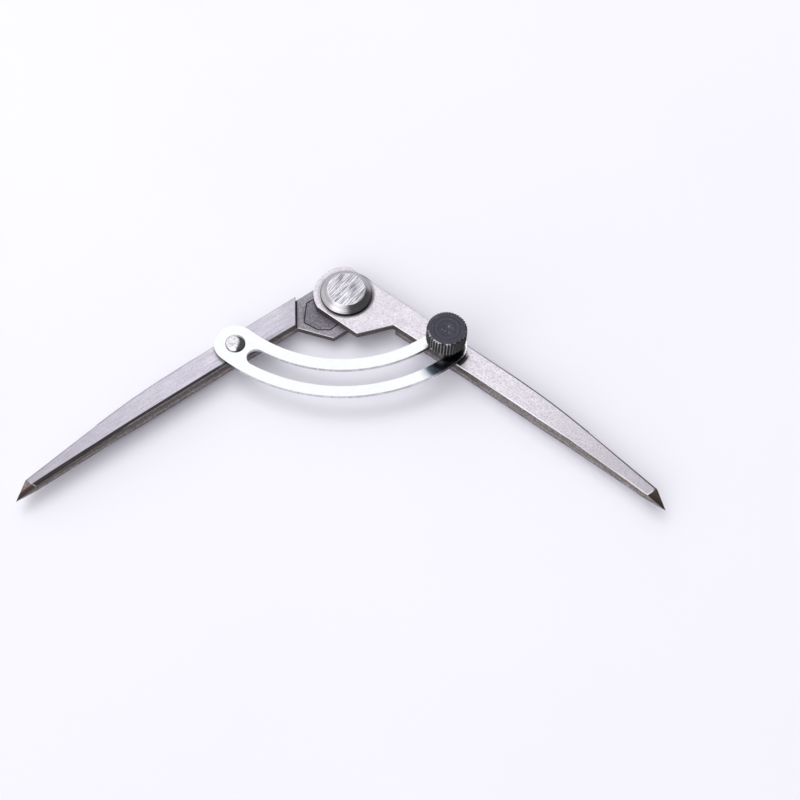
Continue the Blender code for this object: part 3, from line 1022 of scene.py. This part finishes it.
def make_wing():
    """The slotted arc, drawn about its rivet along the left leg's axes."""
    rivet = Vector(WING_RIVET)
    centre = Vector(WING_CENTRE) - rivet
    screw = in_plan(SCREW_PLACE, OPENING, mirrored=True) - rivet
    rivet_angle = math.atan2(-centre.y, -centre.x)
    screw_angle = math.atan2(screw.y - centre.y, screw.x - centre.x)
    slot_start = rivet_angle + SLOT_FROM_RIVET / SLOT_RADIUS
    slot_end = screw_angle + SLOT_PAST_SCREW / SLOT_RADIUS
    outline = band(centre, WING_RADIUS, WING_HALF_WIDTH, rivet_angle, slot_end)
    wing = make_object("wing", prism(outline, wing_low.z, wing_high.z))
    slot = band(centre, SLOT_RADIUS, SLOT_HALF_WIDTH, slot_start, slot_end)
    take_away(wing, prism(slot, wing_low.z - MM, wing_high.z + MM))
    take_away(wing, cylinder((0, 0), RIVET_HOLE_RADIUS, wing_low.z - MM, wing_high.z + MM))
    round_edges(wing, WING_EDGE)
    return wing


def make_cap(name, flat, base):
    """A bevelled hinge cap with rounded corners, from its flat to its seat on the leg."""
    up = 1 if flat > base else -1
    profile = [
        (PIN_HOLE_RADIUS, base),
        (CAP_BASE_RADIUS, base),
        (CAP_BASE_RADIUS, base + up * CAP_RIM),
        (CAP_FLAT_RADIUS, flat),
        (PIN_HOLE_RADIUS, flat),
    ]
    return make_object(name, hollow_turned(rounded(profile, CAP_ROUNDS), ROUND_SEGMENTS))


def make_pin():
    """The hinge's rivet, ground flush with both caps."""
    profile = [(0, base_low.z), (PIN_RADIUS, base_low.z), (PIN_RADIUS, cap_high.z), (0, cap_high.z)]
    softened = rounded(profile, {1: PIN_ROUND, 2: PIN_ROUND})
    return make_object("hinge_rivet", turned(softened, ROUND_SEGMENTS))


def make_rivet():
    """The domed rivet of the wing, with a thin straight edge under its dome."""
    seat = wing_high.z + RIVET_SEAT_GAP
    crown = rivet_high.z
    edge = seat + RIVET_HEAD_EDGE
    height = crown - edge
    sphere = (RIVET_HEAD_RADIUS**2 + height**2) / (2 * height)
    centre = crown - sphere
    start = math.acos(RIVET_HEAD_RADIUS / sphere)
    profile = [
        (0, rivet_low.z),
        (COUNTERSINK_RADIUS - RIVET_END_CLEARANCE, rivet_low.z),
        (RIVET_RADIUS, rivet_low.z + COUNTERSINK_DEPTH),
        (RIVET_RADIUS, seat),
        (RIVET_HEAD_RADIUS - RIVET_HEAD_ROUND, seat),
        (RIVET_HEAD_RADIUS, seat + RIVET_HEAD_ROUND),
        (RIVET_HEAD_RADIUS, edge),
    ]
    for step in range(1, DOME_STEPS):
        angle = start + (math.pi / 2 - start) * step / DOME_STEPS
        profile.append((sphere * math.cos(angle), centre + sphere * math.sin(angle)))
    profile.append((0, crown))
    return make_object("wing_rivet_dome", turned(profile, DOME_SEGMENTS))


def make_screw():
    """The thumb screw: a straight knurl between two chamfers, a turned top and a plain neck."""
    seat = wing_high.z + SCREW_SEAT_GAP
    top = screw_high.z
    low = seat + SCREW_COLLAR_HEIGHT
    under = low - (KNOB_RADIUS - KNOB_TOP_RADIUS)
    stem_top = leg_high.z - SCREW_STEM_BELOW_LEG
    knurled = top - low - KNOB_TOP_CHAMFER
    dish = top - KNOB_DISH
    body = [
        (0, screw_low.z),
        (SCREW_STEM_RADIUS - SCREW_STEM_CHAMFER, screw_low.z),
        (SCREW_STEM_RADIUS, screw_low.z + SCREW_STEM_CHAMFER),
        (SCREW_STEM_RADIUS, stem_top),
        (SCREW_NECK_RADIUS, stem_top),
        (SCREW_NECK_RADIUS, seat),
        (SCREW_COLLAR_RADIUS, seat),
        (SCREW_SHOULDER_RADIUS, under - 0.1 * MM),
        (KNOB_TOP_RADIUS - 0.25 * MM, under),
        (KNOB_TOP_RADIUS, under + 0.1 * MM),
        (KNOB_RADIUS - 0.12 * MM, low - 0.12 * MM),
        (KNOB_RADIUS, low + 0.12 * MM),
        (KNOB_RADIUS, low + 0.3 * knurled),
        (KNOB_RADIUS, low + 0.6 * knurled),
        (KNOB_RADIUS, low + 0.95 * knurled),
        (KNOB_RADIUS - 0.1 * MM, top - 0.3 * MM),
        (KNOB_TOP_RADIUS + 0.12 * MM, top - 0.1 * MM),
        (KNOB_TOP_RADIUS, top - 0.025 * MM),
        (KNOB_TOP_RADIUS - 0.14 * MM, top),
        (KNOB_TOP_RADIUS - 1.1 * MM, top - 0.015 * MM),
        (KNOB_TOP_RADIUS - 2.9 * MM, top - 0.03 * MM),
        (0.75 * MM, dish),
        (0.55 * MM, dish - KNOB_CENTRE_MARK),
        (0, dish - 1.6 * KNOB_CENTRE_MARK),
    ]

    def reach(radius, height, step):
        if height <= under:
            return radius
        valley = 0.5 - 0.5 * math.cos(2 * math.pi * step / KNURL_POINTS)
        return min(radius, KNOB_RADIUS - KNURL_DEPTH * valley**0.8)

    return make_object("thumb_screw_knob", turned(body, KNURL_TEETH * KNURL_POINTS, reach))


def on_wing(from_screw):
    """A place given from the screw, in the part's XY, as the wing's material sees it."""
    place = Vector(from_screw)
    place.rotate(Matrix.Rotation(-LEFT_TURN, 2))
    return place + in_plan(SCREW_PLACE, OPENING, mirrored=True) - Vector(WING_RIVET)


left_place = Matrix.Translation((0, 0, LEG_MIDDLE)) @ Matrix.Rotation(LEFT_TURN, 4, "Z")
right_place = Matrix.Translation((0, 0, LEG_MIDDLE)) @ Matrix.Rotation(RIGHT_TURN, 4, "Z")
right_place = right_place @ Matrix.Rotation(math.pi, 4, "X")
rivet_plan = in_plan(WING_RIVET, LEFT_TURN)
screw_plan = in_plan(SCREW_PLACE, RIGHT_TURN, mirrored=True)
dome_place = Matrix.Translation((*rivet_plan, 0))
wing_place = dome_place @ Matrix.Rotation(LEFT_TURN, 4, "Z")
knob_place = Matrix.Translation((*screw_plan, 0))

left_look = LegLook(
    # A darker tint than the right leg's: painted shade, the same steel shown less lit.
    tint=(0.65, 0.618, 0.695),
    brushed=0.8,
    grained=0.7,
    upside_down=False,
    outer_line=0.25,
    margin=1.15 * MM,
    # The dark inner margin is a painted dark reflection of the rounded inner edge.
    margin_tint=(0.050, 0.043, 0.045),
    point_tint=(0.33, 0.27, 0.25),
)
right_look = LegLook(
    tint=(0.84, 0.795, 0.86),
    brushed=0.12,
    grained=1.0,
    upside_down=True,
    outer_line=0.95,
    margin=0.45 * MM,
    margin_tint=(0.97, 0.94, 0.95),
    point_tint=(0.10, 0.072, 0.062),
    shaded_round=(35.0 * MM, -3.49 * MM),
)
left_steel = LegRecipe("ground_steel_left", left_place, left_look).build()
right_steel = LegRecipe("ground_steel_right", right_place, right_look).build()
cap_steel = hinge_steel("scratched_steel")
plate = bright_plate("zinc_plate", wing_place, on_wing(KNOB_SHADE_FROM_SCREW), on_wing(BLUE_REFLECTION_FROM_SCREW))
dome_plate = polished_head("zinc_dome", dome_place)
oxide = black_oxide("black_oxide", knob_place)

left_leg = make_leg("leg_left", [(WING_RIVET, RIVET_HOLE_RADIUS)], True)
finish_piece(left_leg, left_place, "left_leg", ["left_leg"], left_steel)
right_leg = make_leg("leg_right", [(SCREW_PLACE, SCREW_HOLE_RADIUS)], False)
finish_piece(right_leg, right_place, "right_leg", ["right_leg"], right_steel)
wing = make_wing()
finish_piece(wing, wing_place, "wing", ["wing_arc"], plate)
upper_cap = make_cap("cap_top", cap_high.z, cap_low.z)
finish_piece(upper_cap, Matrix(), "left_leg", ["hinge_cap_top"], cap_steel)
lower_cap = make_cap("cap_bottom", base_low.z, base_high.z)
finish_piece(lower_cap, Matrix(), "left_leg", ["hinge_cap_bottom"], cap_steel)
pin = make_pin()
finish_piece(pin, Matrix(), "left_leg", ["hinge_pin"], cap_steel)
dome = make_rivet()
finish_piece(dome, dome_place, "left_leg", ["wing_rivet"], dome_plate)
knob = make_screw()
finish_piece(knob, knob_place, "thumb_screw", ["thumb_screw"], oxide)


# ---------------------------------------------------------------- floor, light and camera


def make_floor():
    """A plain pale floor, just under the part."""
    made = Recipe("pale_floor")
    colour = made.mottled(made.specks(6), ((0.826, 0.818, 0.872), (0.840, 0.830, 0.886)), 0.3, 0.7)
    material = made.finish(Base_Color=colour, Roughness=0.85)
    made.shader.inputs["Specular IOR Level"].default_value = 0.2
    level = cad_bounds[0].z - FLOOR_GAP
    bm = bmesh.new()
    corners = [(-1, -1), (1, -1), (1, 1), (-1, 1)]
    bm.faces.new([bm.verts.new((x * FLOOR_REACH, y * FLOOR_REACH, level)) for x, y in corners])
    floor = make_object("floor", bm)
    floor.data.materials.append(material)


def make_key():
    """A broad lamp for the floor. Polished metal mirrors the room instead of it."""
    data = bpy.data.lights.new("key", "AREA")
    data.shape = "RECTANGLE"
    data.size, data.size_y = KEY_SIZE
    data.energy = KEY_POWER
    light = bpy.data.objects.new("key", data)
    light.location = KEY_PLACE
    light.visible_glossy = False
    light.rotation_euler = (-Vector(KEY_PLACE)).to_track_quat("-Z", "Y").to_euler()
    bpy.context.scene.collection.objects.link(light)


def make_world():
    """Soft room light: bright above and to the left, dim to the right, with a patch in front."""
    world = bpy.data.worlds.new("studio")
    world.use_nodes = True
    tree = world.node_tree
    background = tree.nodes["Background"]
    direction = tree.nodes.new("ShaderNodeTexCoord").outputs["Generated"]

    def glow(aim, *bounds):
        """Light that grows as the direction turns towards an aim: from, to, least, most."""
        along = tree.nodes.new("ShaderNodeVectorMath")
        along.operation = "DOT_PRODUCT"
        along.inputs[1].default_value = aim
        tree.links.new(direction, along.inputs[0])
        ramp = tree.nodes.new("ShaderNodeMapRange")
        ramp.interpolation_type = "SMOOTHSTEP"
        for socket, value in zip(ramp.inputs[1:], bounds):
            socket.default_value = value
        tree.links.new(along.outputs["Value"], ramp.inputs[0])
        return ramp.outputs[0]

    total = tree.nodes.new("ShaderNodeMath")
    total.operation = "ADD"
    tree.links.new(glow((-0.70, 0.25, 0.60), 0.16, 0.52, 0.10, 1.18), total.inputs[0])
    tree.links.new(glow((-0.42, -0.73, 0.54), 0.78, 0.96, 0.0, 1.35), total.inputs[1])
    tree.links.new(total.outputs[0], background.inputs["Strength"])
    background.inputs["Color"].default_value = SKY_COLOUR
    bpy.context.scene.world = world


def make_camera():
    """A camera that looks down on the part from the front, 60 degrees above the floor."""
    data = bpy.data.cameras.new("camera")
    data.lens = LENS
    data.sensor_width = SENSOR_WIDTH
    camera = bpy.data.objects.new("camera", data)
    back = Vector(CAMERA_BACK).normalized()
    up = back.cross(Vector(CAMERA_ACROSS)).normalized()
    across = up.cross(back)
    turn = Matrix((across, up, back)).transposed().to_4x4()
    camera.matrix_world = Matrix.Translation(CAMERA_PLACE) @ turn
    bpy.context.scene.collection.objects.link(camera)
    bpy.context.scene.camera = camera


make_floor()
make_world()
make_key()
make_camera()
bpy.context.scene.view_settings.view_transform = "Standard"
